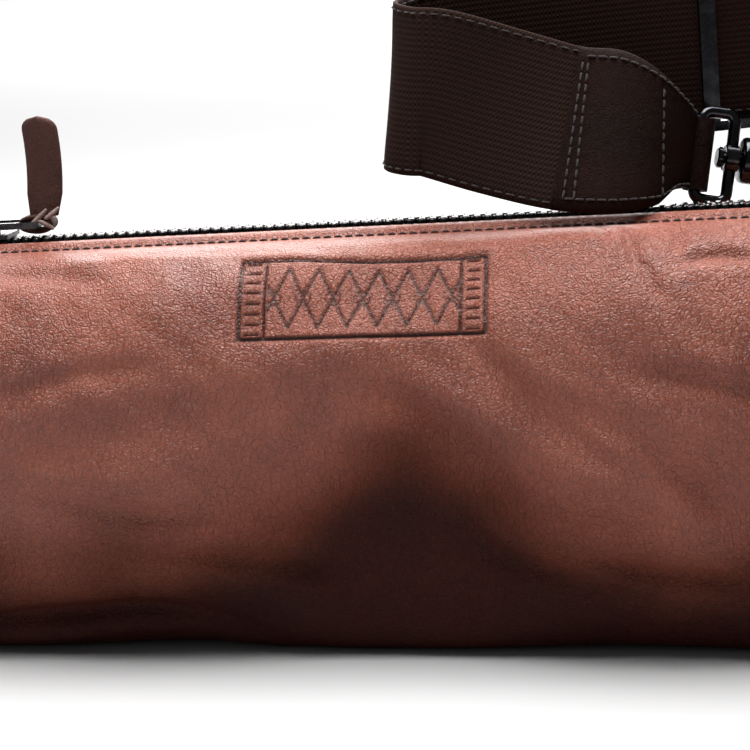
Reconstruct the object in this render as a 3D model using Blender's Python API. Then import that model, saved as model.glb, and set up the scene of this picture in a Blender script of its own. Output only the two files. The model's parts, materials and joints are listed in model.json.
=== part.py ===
"""Soft leather cue case: padded zipped body, strap with two swivel hooks.

The case lies on its base, long axis along X, front towards -Y, zip along the top.
Metres, +Z up, origin in the middle of the base.
"""
import math

import bpy
from mathutils import Matrix, Vector

# ---- driving dimensions (metres) ----
LENGTH = 0.820            # overall length of the body
HEIGHT = 0.1315           # height at the middle
TAPER = 0.028             # rise of the zip line per metre of length
BASE_HALF = 0.029         # half width of the flat base
LEATHER = 0.0020          # outer leather
FOAM = 0.0026             # padding
CLOTH = 0.0009            # lining
GAP = 0.00035             # clearance between touching pieces
MOUTH_HALF = 0.0065       # half width of the opening that the chain fills

CHAIN_START = -0.3755     # closed chain, left end
CHAIN_END = 0.385         # closed chain, right end
CHAIN_HALF = 0.0040       # half width of the chain
SLIDER_X = -0.3730        # slider's centre when the case is closed

HOOK_X = (-0.0838, 0.3682)    # D-ring bars of the two strap ends
RING_Y = 0.021            # where the D-ring tabs sit behind the zip
RING_WIRE = 0.00175
RING_REACH = 0.017        # bar to the far side of the ring
RING_HALF = 0.013
RING_TILT = math.radians(18)
BAR_LIFT = 0.0043         # bar's height over the leather
STRAP_HALF = 0.0245       # half width of the webbing
STRAP_THICK = 0.0022
NECK_HALF = 0.0110        # half width of a strap tab at its hook
LOOP_A = 0.057            # hook's bow to the loop's far bar
LOOP_HALF = 0.0133
BOW_RADIUS = 0.0065
BOW_WIRE = 0.0019


def clear_scene():
    for item in list(bpy.context.scene.objects):
        bpy.data.objects.remove(item, do_unlink=True)


# ---- materials ----
def material(name, colour, roughness, metallic=0.0):
    mat = bpy.data.materials.new(name)
    mat.use_nodes = True
    shader = mat.node_tree.nodes["Principled BSDF"]
    shader.inputs["Base Color"].default_value = (*colour, 1.0)
    shader.inputs["Roughness"].default_value = roughness
    shader.inputs["Metallic"].default_value = metallic
    return mat


def all_materials():
    return {
        "case_leather": material("case_leather", (0.27, 0.10, 0.07), 0.5),
        "strap_leather": material("strap_leather", (0.035, 0.016, 0.012), 0.45),
        "puller_leather": material("puller_leather", (0.10, 0.045, 0.035), 0.6),
        "webbing": material("webbing", (0.045, 0.020, 0.014), 0.85),
        "zip_tape": material("zip_tape", (0.03, 0.015, 0.012), 0.9),
        "zip_metal": material("zip_metal", (0.05, 0.05, 0.055), 0.3, 1.0),
        "hook_metal": material("hook_metal", (0.09, 0.09, 0.095), 0.25, 1.0),
        "foam": material("foam", (0.55, 0.53, 0.48), 0.9),
        "lining": material("lining", (0.20, 0.11, 0.07), 0.9),
    }


# ---- mesh helpers ----
def new_object(name, points, faces, mat, origin=(0.0, 0.0, 0.0), smooth=False):
    """Make a mesh object from world points, with its origin where it turns."""
    origin = Vector(origin)
    mesh = bpy.data.meshes.new(name)
    mesh.from_pydata([Vector(p) - origin for p in points], [], faces)
    mesh.materials.append(mat)
    obj = bpy.data.objects.new(name, mesh)
    obj.location = origin
    bpy.context.scene.collection.objects.link(obj)
    if smooth:
        mesh.shade_smooth()
        mesh.set_sharp_from_angle(angle=math.radians(40))
    return obj


def rings_to_solid(name, rings, mat, origin=(0.0, 0.0, 0.0), smooth=False, closed=False):
    """Join equal rings of points into one solid, capped at both ends unless closed."""
    count = len(rings[0])
    points = [p for ring in rings for p in ring]
    faces = []
    spans = len(rings) if closed else len(rings) - 1
    for i in range(spans):
        a, b = i * count, ((i + 1) % len(rings)) * count
        for j in range(count):
            k = (j + 1) % count
            faces.append((a + j, a + k, b + k, b + j))
    if not closed:
        faces.append(tuple(reversed(range(count))))
        faces.append(tuple(range((len(rings) - 1) * count, len(rings) * count)))
    obj = new_object(name, points, faces, mat, origin, smooth)
    face_outwards(obj)
    return obj


def face_outwards(obj):
    """Turn every face outwards when the solid came out inside out."""
    volume = 0.0
    mesh = obj.data
    for poly in mesh.polygons:
        corners = [mesh.vertices[i].co for i in poly.vertices]
        for i in range(1, len(corners) - 1):
            volume += corners[0].dot(corners[i].cross(corners[i + 1]))
    if volume < 0.0:
        mesh.flip_normals()


def frame_of(origin, x_axis, y_axis, z_axis):
    """World matrix of a local frame given by its origin and unit axes."""
    mat = Matrix((x_axis, y_axis, z_axis)).transposed().to_4x4()
    mat.translation = Vector(origin)
    return mat


def block(name, frame, low, high, mat, origin=(0.0, 0.0, 0.0)):
    """A box between two corners of a local frame."""
    corners = [(y, z) for y, z in ((low[1], low[2]), (high[1], low[2]),
                                   (high[1], high[2]), (low[1], high[2]))]
    rings = [[frame @ Vector((x, y, z)) for y, z in corners] for x in (low[0], high[0])]
    return rings_to_solid(name, rings, mat, origin)


def rod(name, start, end, radius, mat, sides=12, origin=(0.0, 0.0, 0.0), end_radius=None):
    """A round bar between two points."""
    start, end = Vector(start), Vector(end)
    return tube(name, [start, end], radius, mat, sides, origin, end_radius=end_radius)


def tube(name, path, radius, mat, sides=8, origin=(0.0, 0.0, 0.0), closed=False,
         end_radius=None):
    """A round wire along a path."""
    path = [Vector(p) for p in path]
    last = len(path) - 1
    side = None
    rings = []
    for i, point in enumerate(path):
        if closed:
            along = path[(i + 1) % len(path)] - path[i - 1]
        else:
            along = path[min(i + 1, last)] - path[max(i - 1, 0)]
        along.normalize()
        if side is None:
            side = along.orthogonal().normalized()
        side = (side - along * side.dot(along)).normalized()
        up = along.cross(side)
        r = radius
        if end_radius is not None and i == last:
            r = end_radius
        rings.append([point + side * (r * math.cos(t)) + up * (r * math.sin(t))
                      for t in (2 * math.pi * j / sides for j in range(sides))])
    return rings_to_solid(name, rings, mat, origin, True, closed)


def combine(obj, tool, operation):
    """Boolean with another object, which then only serves as the tool."""
    tool.hide_render = True
    tool.display_type = "WIRE"
    step = obj.modifiers.new(operation.lower(), "BOOLEAN")
    step.operation = operation
    step.solver = "EXACT"
    step.object = tool
    return obj


# ---- body's cross-section ----
def height(x):
    """Height of the zip line over the base."""
    return HEIGHT + TAPER * x


def outline():
    """Front half of the cross-section from the mouth down, as (y, share of height)."""
    return [(-0.0065, 1.0), (-0.0130, 0.983), (-0.0200, 0.957), (-0.0270, 0.918),
            (-0.0335, 0.855), (-0.0385, 0.765), (-0.0415, 0.64), (-0.0427, 0.50),
            (-0.0422, 0.35), (-0.0400, 0.21), (-0.0362, 0.09), (-0.0325, 0.025),
            (-BASE_HALF, 0.0)]


def section():
    """Whole cross-section from the mouth's front edge round to its back edge."""
    front = [Vector((y, share * HEIGHT)) for y, share in outline()]
    return front + [Vector((-p.x, p.y)) for p in reversed(front)]


def walk(points, distance):
    """Point and outward normal at a distance along the cross-section."""
    for a, b in zip(points, points[1:]):
        step = (b - a).length
        if distance <= step or b is points[-1]:
            along = (b - a) / step
            return a + along * min(distance, step), Vector((along.y, -along.x))
        distance -= step


def length_to(points, index):
    return sum((b - a).length for a, b in zip(points[:index], points[1:index + 1]))


def strip(start, end, outer, inner):
    """Closed outline of a layer of the wall, between two depths under its outside."""
    points = section()
    marks = [length_to(points, i) for i in range(len(points))]
    stops = [start] + [m for m in marks if start + 0.0004 < m < end - 0.0004] + [end]
    outside, inside = [], []
    for stop in stops:
        before, normal_a = walk(points, max(stop - 0.0005, 0.0))
        after, normal_b = walk(points, stop + 0.0005)
        normal = (normal_a + normal_b).normalized()
        spread = max(normal.dot(normal_a), 0.8)
        here = walk(points, stop)[0]
        outside.append(here + normal * (-outer / spread))
        inside.append(here + normal * (-inner / spread))
    return outside + list(reversed(inside))


def wall(name, polygon, mat, left, right):
    """Run a layer's outline along the case, following its taper."""
    rings = []
    spans = 6 if right - left > 0.1 else 1
    for i in range(spans + 1):
        x = left + (right - left) * i / spans
        scale = height(x) / HEIGHT
        rings.append([(x, p.x, p.y * scale) for p in polygon])
    return rings_to_solid(name, rings, mat)


def top_strip(name, polygon, mat, left, right):
    """Run an outline given from the zip line along the case."""
    rings = [[(x, y, height(x) + z) for y, z in polygon] for x in (left, right)]
    return rings_to_solid(name, rings, mat)


def mirrored(polygon):
    return [(-y, z) for y, z in polygon]


# ---- leather body, padding and lining ----
def build_body(mats):
    points = section()
    corner = len(outline()) - 1
    half = length_to(points, corner)
    base = 2 * BASE_HALF
    whole = 2 * half + base
    end = LENGTH / 2
    inner_end = end - LEATHER - GAP
    leather = mats["case_leather"]
    wall("front_panel", strip(0.0, half - 0.002, 0.0, LEATHER), leather, -inner_end, inner_end)
    wall("base_panel", strip(half - 0.002 + GAP, half + base + 0.002 - GAP, 0.0, LEATHER),
         leather, -inner_end, inner_end)
    wall("back_panel", strip(half + base + 0.002, whole, 0.0, LEATHER), leather,
         -inner_end, inner_end)
    for side, sign in (("left", -1), ("right", 1)):
        near, far = sorted((sign * (end - LEATHER), sign * end))
        wall(side + "_end_panel", points, leather, near, far)

    foam_out = LEATHER + GAP
    foam_in = foam_out + FOAM
    cloth_out = foam_in + GAP
    cloth_in = cloth_out + CLOTH
    start = 0.0125
    wall("padding_front", strip(start, half - 0.003, foam_out, foam_in), mats["foam"],
         -inner_end, inner_end)
    wall("padding_base", strip(half + 0.0025, half + base - 0.0025, foam_out, foam_in),
         mats["foam"], -inner_end, inner_end)
    wall("padding_back", strip(half + base + 0.003, whole - start, foam_out, foam_in),
         mats["foam"], -inner_end, inner_end)
    wall("lining", strip(start, whole - start, cloth_out, cloth_in), mats["lining"],
         -inner_end, inner_end)
    pad = strip(0.018, whole - 0.018, cloth_in + GAP, cloth_in + GAP + 0.001)
    pad = pad[:len(pad) // 2]
    for side, sign in (("left", -1), ("right", 1)):
        near, far = sorted((sign * (inner_end - 0.008), sign * inner_end))
        wall("end_pad_" + side, pad, mats["foam"], near, far)
    floor = (cloth_in + GAP) * height(end) / HEIGHT + GAP
    block("cue_divider", Matrix.Identity(4),
          (-inner_end + 0.0085, -0.0025, floor), (inner_end - 0.0085, 0.0025, 0.085),
          mats["lining"])


# ---- zip ----
def build_zip(mats):
    tape = [(-0.0012, -0.0023), (-0.0054, -0.0024), (-0.0150, -0.0062),
            (-0.0146, -0.0071), (-0.0054, -0.0033), (-0.0012, -0.0032)]
    top_strip("zip_tape_front", tape, mats["zip_tape"], -0.400, 0.400)
    top_strip("zip_tape_back", mirrored(tape), mats["zip_tape"], -0.400, 0.400)
    row = [(-CHAIN_HALF, -0.0020), (-0.0002, -0.0020), (-0.0002, 0.0010), (-CHAIN_HALF, 0.0010)]
    top_strip("zip_teeth_front", row, mats["zip_metal"], CHAIN_START, CHAIN_END)
    top_strip("zip_teeth_back", mirrored(row), mats["zip_metal"], CHAIN_START, CHAIN_END)
    stop = [(-0.0032, -0.0019), (0.0032, -0.0019), (0.0032, 0.0009), (-0.0032, 0.0009)]
    top_strip("zip_top_stop", stop, mats["zip_metal"], -0.3850, -0.3815)
    top_strip("zip_bottom_stop", stop, mats["zip_metal"], 0.3860, 0.3900)
    tab = [(-0.0050, -0.0019), (0.0050, -0.0019), (0.0050, 0.0010), (-0.0050, 0.0010)]
    top_strip("zip_end_tab_left", tab, mats["case_leather"], -0.4070, -0.3880)
    top_strip("zip_end_tab_right", tab, mats["case_leather"], 0.3920, 0.4070)


def zip_frame():
    """Local frame on the closed slider: X along the zip, Z up."""
    along = Vector((1.0, 0.0, TAPER)).normalized()
    up = Vector((-along.z, 0.0, along.x))
    centre = (SLIDER_X, 0.0, height(SLIDER_X))
    return frame_of(centre, along, Vector((0.0, 1.0, 0.0)), up)


PIVOT_LIFT = 0.0050       # pull's pin over the zip line
BAR_REACH = 0.0158        # pin to the pull's end bar


def build_slider(mats):
    metal = mats["zip_metal"]
    frame = zip_frame()
    body = block("slider_body", frame, (-0.0070, -0.0060, 0.0013), (0.0070, 0.0060, 0.0027), metal)
    lower = block("slider_lower", frame, (-0.0070, -0.0050, -0.0052),
                  (0.0070, 0.0050, -0.0038), metal)
    post = block("slider_post", frame, (-0.0065, -0.0008, -0.0045), (-0.0031, 0.0008, 0.0020), metal)
    lug = block("slider_lug", frame, (-0.0024, -0.0018, 0.0020), (0.0024, 0.0018, 0.0072), metal)
    hole = rod("slider_hole", frame @ Vector((0.0, -0.004, PIVOT_LIFT)),
               frame @ Vector((0.0, 0.004, PIVOT_LIFT)), 0.0013, metal)
    for tool in (lower, post, lug):
        combine(body, tool, "UNION")
    combine(body, hole, "DIFFERENCE")

    pivot = frame @ Vector((0.0, 0.0, PIVOT_LIFT))
    pin = rod("pull_tab", frame @ Vector((0.0, -0.0040, PIVOT_LIFT)),
              frame @ Vector((0.0, 0.0040, PIVOT_LIFT)), 0.0009, metal, origin=pivot)
    for sign in (-1, 1):
        near, far = sorted((sign * 0.0032, sign * 0.0044))
        rail = block("pull_rail_%d" % sign, frame, (-0.0010, near, PIVOT_LIFT - 0.0010),
                     (BAR_REACH + 0.0008, far, PIVOT_LIFT + 0.0010), metal)
        combine(pin, rail, "UNION")
    bar = block("pull_bar", frame, (BAR_REACH - 0.0008, -0.0040, PIVOT_LIFT - 0.0008),
                (BAR_REACH + 0.0008, 0.0040, PIVOT_LIFT + 0.0008), metal)
    combine(pin, bar, "UNION")

    hinge = frame @ Vector((BAR_REACH, 0.0, PIVOT_LIFT))
    leather = mats["puller_leather"]
    fold = block("leather_puller", frame, (BAR_REACH - 0.0046, -0.0027, PIVOT_LIFT - 0.0030),
                 (BAR_REACH + 0.0046, 0.0027, PIVOT_LIFT + 0.0030), leather, hinge)
    space = block("puller_space", frame, (BAR_REACH - 0.0014, -0.01, PIVOT_LIFT - 0.0013),
                  (BAR_REACH + 0.0014, 0.01, PIVOT_LIFT + 0.0013), leather)
    flap = block("puller_flap", frame, (BAR_REACH - 0.0032, -0.0010, PIVOT_LIFT + 0.0025),
                 (BAR_REACH + 0.0078, 0.0010, 0.0375), leather)
    combine(fold, flap, "UNION")
    combine(fold, space, "DIFFERENCE")


# ---- D-rings, hooks and strap ends ----
def shoulder_frame(bar_x):
    """Frame on the back shoulder: X along the case, Y down the slope, Z outwards."""
    points = section()
    before, after = next((a, b) for a, b in zip(points, points[1:]) if b.x <= -RING_Y <= a.x)
    level = before + (after - before) * ((RING_Y + before.x) / (before.x - after.x))
    slope = Vector((0.0, before.x - after.x, after.y - before.y)).normalized()
    along = Vector((1.0, 0.0, TAPER)).normalized()
    out = along.cross(slope).normalized()
    centre = (bar_x, RING_Y, level.y * height(bar_x) / HEIGHT)
    return frame_of(centre, along, out.cross(along), out)


def ring_end(bar_x):
    """Middle of the D-ring's far side."""
    frame = shoulder_frame(bar_x)
    return frame @ Vector((-RING_REACH * math.cos(RING_TILT), 0.0,
                           BAR_LIFT + RING_REACH * math.sin(RING_TILT)))


def hook_frame(bar_x):
    """Frame of a hook: X from its bow to the strap, Z away from the case."""
    along = Vector((-0.972, -0.150, 0.175)).normalized()
    out = shoulder_frame(bar_x).col[2].to_3d()
    out = (out - along * out.dot(along)).normalized()
    side = out.cross(along)
    centre = ring_end(bar_x) + along * 0.0016
    return frame_of(centre, along, side, out)


def loop_frame(bar_x):
    """Frame of a strap loop: X along the hook, Z along the loop's long side."""
    hook = hook_frame(bar_x)
    along = hook.col[0].to_3d()
    width = Vector((0.20, 0.26, 0.94))
    width = (width - along * width.dot(along)).normalized()
    side = width.cross(along)
    return frame_of(hook.translation, along, side, width)


def build_ring(mats, letter, bar_x):
    metal, leather = mats["hook_metal"], mats["case_leather"]
    frame = shoulder_frame(bar_x)
    bar = frame @ Vector((0.0, 0.0, BAR_LIFT))
    flat, tilt = -math.cos(RING_TILT), math.sin(RING_TILT)

    def on_ring(reach, across):
        return frame @ Vector((flat * reach, across, BAR_LIFT + tilt * reach))

    path = [on_ring(0.0, RING_HALF), on_ring(0.0, 0.0), on_ring(0.0, -RING_HALF)]
    start = RING_REACH - 0.0120
    path += [on_ring(start + 0.0120 * math.sin(t), -RING_HALF * math.cos(t))
             for t in (math.pi * i / 12 for i in range(13))]
    tube("d_ring_" + letter, path, RING_WIRE, metal, 8, bar, closed=True)

    tab = rod("d_ring_tab_" + letter, frame @ Vector((0.0, -0.0090, BAR_LIFT)),
              frame @ Vector((0.0, 0.0090, BAR_LIFT)), 0.0039, leather, 16)
    plate = block("ring_plate_" + letter, frame, (0.0, -0.0084, 0.0006),
                  (0.0300, 0.0084, 0.0026), leather)
    hole = rod("ring_hole_" + letter, frame @ Vector((0.0, -0.02, BAR_LIFT)),
               frame @ Vector((0.0, 0.02, BAR_LIFT)), 0.0022, leather, 16)
    combine(tab, plate, "UNION")
    combine(tab, hole, "DIFFERENCE")
    rod("tab_rivet_" + letter, frame @ Vector((0.020, 0.0, 0.0030)),
        frame @ Vector((0.020, 0.0, 0.0044)), 0.0036, metal, 16, end_radius=0.0024)


def build_hook(mats, letter, bar_x):
    metal = mats["hook_metal"]
    frame = hook_frame(bar_x)

    def at(a, b, c=0.0):
        return frame @ Vector((a, c, b))

    # bow and spine: the bow is open on the gate's side
    path = [at(0.0155, -0.0050), at(0.0085, -0.0062)]
    path += [at(-BOW_RADIUS * math.sin(t), -BOW_RADIUS * math.cos(t))
             for t in (math.radians(a) for a in range(0, 181, 20))]
    path.append(at(0.0014, BOW_RADIUS))
    hook = tube("hook_body_" + letter, path, BOW_WIRE, metal, 8, at(0.044, 0.0))
    shank = rod("hook_shank_" + letter, at(0.0140, 0.0), at(0.0310, 0.0), 0.0062, metal, 16,
                end_radius=0.0055)
    slot = block("hook_slot_" + letter, frame, (0.010, -0.0021, 0.0022),
                 (0.0215, 0.0021, 0.0100), metal)
    collar = rod("hook_collar_" + letter, at(0.0300, 0.0), at(0.0442, 0.0), 0.0070, metal, 20)
    stem = rod("hook_stem_" + letter, at(0.0400, 0.0), at(0.0500, 0.0), 0.0017, metal)
    head = rod("hook_head_" + letter, at(0.0497, 0.0), at(0.0514, 0.0), 0.0032, metal)
    combine(shank, slot, "DIFFERENCE")
    for tool in (shank, collar, stem, head):
        combine(hook, tool, "UNION")

    pivot = at(0.0190, 0.0045)
    gate = tube("hook_gate_" + letter, [at(0.0205, 0.0045), at(0.0150, 0.0050),
                                        at(0.0036, BOW_RADIUS)], 0.0013, metal, 8, pivot)
    thumb = block("gate_thumb_" + letter, frame, (0.0085, -0.0015, 0.0050),
                  (0.0115, 0.0015, 0.0098), metal)
    combine(gate, thumb, "UNION")

    loop_at = loop_frame(bar_x)
    near, far = 0.0470, LOOP_A
    corner = 0.0025
    path = []
    for a, w, start in ((far - corner, LOOP_HALF - corner, 0), (near + corner, LOOP_HALF - corner, 90),
                        (near + corner, corner - LOOP_HALF, 180), (far - corner, corner - LOOP_HALF, 270)):
        for turn in (0, 45, 90):
            angle = math.radians(start + turn)
            path.append(loop_at @ Vector((a + corner * math.cos(angle), 0.0,
                                          w + corner * math.sin(angle))))
    loop = tube("hook_loop_" + letter, path, 0.0018, metal, 8, closed=True)
    boss = rod("loop_boss_" + letter, at(0.0447, 0.0), at(0.0492, 0.0), 0.0040, metal, 16)
    bore = rod("loop_bore_" + letter, at(0.0400, 0.0), at(0.0540, 0.0), 0.0021, metal, 16)
    combine(loop, boss, "UNION")
    combine(loop, bore, "DIFFERENCE")


# ---- strap ----
def smooth_curve(keys, steps):
    """Catmull-Rom curve through rows of numbers."""
    rows = []
    for i in range(len(keys) - 1):
        before = keys[max(i - 1, 0)]
        after = keys[min(i + 2, len(keys) - 1)]
        for s in range(steps):
            t = s / steps
            rows.append([0.5 * (2 * b + (c - a) * t + (2 * a - 5 * b + 4 * c - d) * t * t
                                + (3 * b - a - 3 * c + d) * t ** 3)
                         for a, b, c, d in zip(before, keys[i], keys[i + 1], after)])
    rows.append(list(keys[-1]))
    return rows


def between(a, b, share):
    return [p + (q - p) * share for p, q in zip(a, b)]


def over_zip(x, y, rise, tilt, lean, half):
    """Station of the strap: its centre's rise is measured from the zip line."""
    return (x, y, height(x) + rise, tilt, lean, half)


TURN_RADIUS = 0.013


def strap_stations():
    """Centre, width direction (x and y share) and half width, end A to end B."""
    def at_loop(bar_x):
        frame = loop_frame(bar_x)
        point = frame @ Vector((LOOP_A + 0.0026, 0.0, 0.0))
        width = frame.col[2]
        return (*point, width.x / width.z, width.y / width.z, NECK_HALF)

    tab_a = [at_loop(HOOK_X[0]),
             over_zip(-0.1645, 0.0085, 0.0184, 0.20, 0.45, 0.0150),
             over_zip(-0.1715, -0.0005, 0.0215, 0.21, 0.50, 0.0210),
             over_zip(-0.1820, -0.0045, 0.0241, 0.22, 0.46, STRAP_HALF),
             over_zip(-0.1960, -0.0040, 0.0258, 0.23, 0.36, STRAP_HALF)]
    front = [over_zip(-0.2150, -0.0035, 0.0315, 0.23, 0.20, STRAP_HALF),
             over_zip(-0.2330, -0.0030, 0.0375, 0.23, 0.05, STRAP_HALF)]
    turn = []
    for angle in range(-60, 61, 30):
        share = (angle + 90) / 180
        a = math.radians(angle)
        turn.append(over_zip(-0.2345 - TURN_RADIUS * math.cos(a),
                             0.010 + TURN_RADIUS * math.sin(a),
                             0.0378 + 0.004 * share, 0.23 - 0.27 * share, 0.05 * (1 - share),
                             STRAP_HALF))
    back = [over_zip(-0.2300, 0.0232, 0.0425, -0.03, 0.0, STRAP_HALF),
            over_zip(-0.2050, 0.0280, 0.0440, -0.03, 0.0, STRAP_HALF),
            over_zip(-0.1750, 0.0350, 0.0455, 0.0, 0.0, STRAP_HALF),
            over_zip(-0.1550, 0.0400, 0.0460, 0.0, 0.0, STRAP_HALF),
            over_zip(-0.1350, 0.0450, 0.0465, 0.0, 0.0, STRAP_HALF),
            over_zip(-0.1150, 0.0500, 0.0470, 0.0, 0.0, STRAP_HALF),
            over_zip(-0.0950, 0.0550, 0.0475, 0.0, 0.0, STRAP_HALF),
            over_zip(-0.0550, 0.0590, 0.0440, 0.0, 0.05, STRAP_HALF),
            over_zip(-0.0150, 0.0560, 0.0340, 0.1, 0.12, STRAP_HALF),
            over_zip(0.0300, 0.0470, 0.0235, 0.1, 0.20, STRAP_HALF),
            over_zip(0.0800, 0.0380, 0.0180, 0.05, 0.25, STRAP_HALF),
            over_zip(0.1400, 0.0340, 0.0180, 0.0, 0.27, STRAP_HALF),
            over_zip(0.2000, 0.0300, 0.0200, 0.0, 0.27, STRAP_HALF)]
    tab_b = [over_zip(0.2400, 0.0260, 0.0225, 0.10, 0.27, STRAP_HALF),
             over_zip(0.2640, 0.0225, 0.0215, 0.16, 0.27, 0.0215),
             over_zip(0.2740, 0.0200, 0.0195, 0.19, 0.27, 0.0150)]
    end_b = at_loop(HOOK_X[1])
    return tab_a, front + turn + back, tab_b + [end_b]


def ribbon(name, rows, thickness, mat):
    """A flat strap through stations, square at its edges."""
    rings = []
    centres = [Vector(r[:3]) for r in rows]
    last = len(rows) - 1
    for i, row in enumerate(rows):
        along = (centres[min(i + 1, last)] - centres[max(i - 1, 0)]).normalized()
        width = Vector((row[3], row[4], 1.0))
        width = (width - along * width.dot(along)).normalized()
        face = along.cross(width)
        half = row[5]
        rings.append([centres[i] + width * (w * half) + face * (t * thickness / 2)
                      for w, t in ((-1, -1), (1, -1), (1, 1), (-1, 1))])
    return rings_to_solid(name, rings, mat)


def adjuster_frame():
    centre = Vector((-0.1430, 0.0430, height(-0.1430) + 0.0463))
    ahead = Vector((-0.1150, 0.0500, height(-0.1150) + 0.0470))
    along = (ahead - centre).normalized()
    up = Vector((0.0, 0.0, 1.0))
    up = (up - along * along.z).normalized()
    return frame_of(centre, along, up.cross(along), up)


def build_strap(mats):
    tab_a, middle, tab_b = strap_stations()
    step = 4
    split_a, split_b = len(tab_a) - 1, len(tab_a) + len(middle)
    rows = smooth_curve(tab_a + middle + tab_b, step)
    first, last = split_a * step, split_b * step
    rows_a, rows_b = rows[:first + 1], rows[last:]
    rows_m = [between(rows[first], rows[first + 1], 0.5)] + rows[first + 1:last]
    rows_m.append(between(rows[last - 1], rows[last], 0.75))
    leather = mats["strap_leather"]
    ribbon("strap_webbing", rows_m, STRAP_THICK, mats["webbing"])
    for letter, part, bar_x in (("a", rows_a, HOOK_X[0]), ("b", rows_b, HOOK_X[1])):
        tab = ribbon("strap_tab_" + letter, part, 0.0046, leather)
        frame = loop_frame(bar_x)
        low = frame @ Vector((LOOP_A, 0.0, 0.0005 - NECK_HALF))
        high = frame @ Vector((LOOP_A, 0.0, NECK_HALF - 0.0005))
        fold = rod("strap_fold_" + letter, low, high, 0.0041, leather, 16)
        out = (high - low).normalized() * 0.01
        hole = rod("strap_hole_" + letter, low - out, high + out, 0.0022, leather, 16)
        combine(tab, fold, "UNION")
        combine(tab, hole, "DIFFERENCE")

    metal = mats["hook_metal"]
    frame = adjuster_frame()
    half = 0.0140
    rail = STRAP_HALF + 0.0007
    adjuster = block("strap_adjuster", frame, (-half, -0.0036, rail), (half, 0.0036, rail + 0.003),
                     metal, frame.translation)
    lower = block("adjuster_lower", frame, (-half, -0.0036, -rail - 0.003),
                  (half, 0.0036, -rail), metal)
    combine(adjuster, lower, "UNION")
    for name, low, high, near, far in (("left", -half, -half + 0.005, -0.0036, -0.0016),
                                       ("middle", -0.003, 0.003, 0.0016, 0.0036),
                                       ("right", half - 0.005, half, -0.0036, -0.0016)):
        bar = block("adjuster_" + name, frame, (low, near, -rail - 0.002),
                    (high, far, rail + 0.002), metal)
        combine(adjuster, bar, "UNION")


def build():
    clear_scene()
    mats = all_materials()
    build_body(mats)
    build_zip(mats)
    build_slider(mats)
    for letter, bar_x in zip("ab", HOOK_X):
        build_ring(mats, letter, bar_x)
        build_hook(mats, letter, bar_x)
    build_strap(mats)


build()
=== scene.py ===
"""Looks of the leather cue case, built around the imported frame. Metres, +Z up."""
import json
from math import copysign, cos, hypot, pi, radians, sin, sqrt

import bpy
import numpy as np
from mathutils import Matrix, Vector


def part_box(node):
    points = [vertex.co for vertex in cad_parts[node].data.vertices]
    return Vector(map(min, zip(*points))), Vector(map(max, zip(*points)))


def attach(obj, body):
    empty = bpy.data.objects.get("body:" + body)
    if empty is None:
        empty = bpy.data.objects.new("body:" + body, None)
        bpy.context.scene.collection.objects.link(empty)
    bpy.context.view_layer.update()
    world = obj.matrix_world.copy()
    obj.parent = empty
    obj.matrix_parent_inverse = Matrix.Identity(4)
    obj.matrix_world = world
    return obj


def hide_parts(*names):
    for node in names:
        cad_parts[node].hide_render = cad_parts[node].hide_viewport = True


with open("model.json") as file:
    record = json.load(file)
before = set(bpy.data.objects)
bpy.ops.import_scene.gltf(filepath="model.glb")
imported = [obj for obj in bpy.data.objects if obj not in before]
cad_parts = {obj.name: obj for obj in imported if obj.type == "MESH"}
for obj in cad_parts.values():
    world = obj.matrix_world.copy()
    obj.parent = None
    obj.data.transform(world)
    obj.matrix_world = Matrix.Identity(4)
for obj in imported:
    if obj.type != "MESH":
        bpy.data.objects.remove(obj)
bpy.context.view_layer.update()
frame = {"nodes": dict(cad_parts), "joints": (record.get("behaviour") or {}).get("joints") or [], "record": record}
JOINTS = {joint["name"]: joint for joint in frame["joints"]}

# ---- sizes shared with the design (metres) ----
LENGTH = 0.820
HEIGHT = 0.1315
TAPER = 0.028
BASE_HALF = 0.029
THICKNESS = 0.0018        # the leather
END_X = LENGTH / 2 - 0.0022
CHAIN_START = -0.3755
CHAIN_END = 0.385
TOOTH_PITCH = 0.0033
STITCH_PITCH = 0.0032
SEAM_AT = 0.0056          # stitches beside the zip, from the mouth
STRAP_HALF = 0.0245
SWIVEL_AT = 0.0470        # from the hook's frame
LOOP_REACH = 0.0570       # hook's frame to the middle of the strap loop's far side
VIEW_X = -0.2555          # where the camera looks along the case
WHITE = (1.0, 1.0, 1.0)


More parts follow.
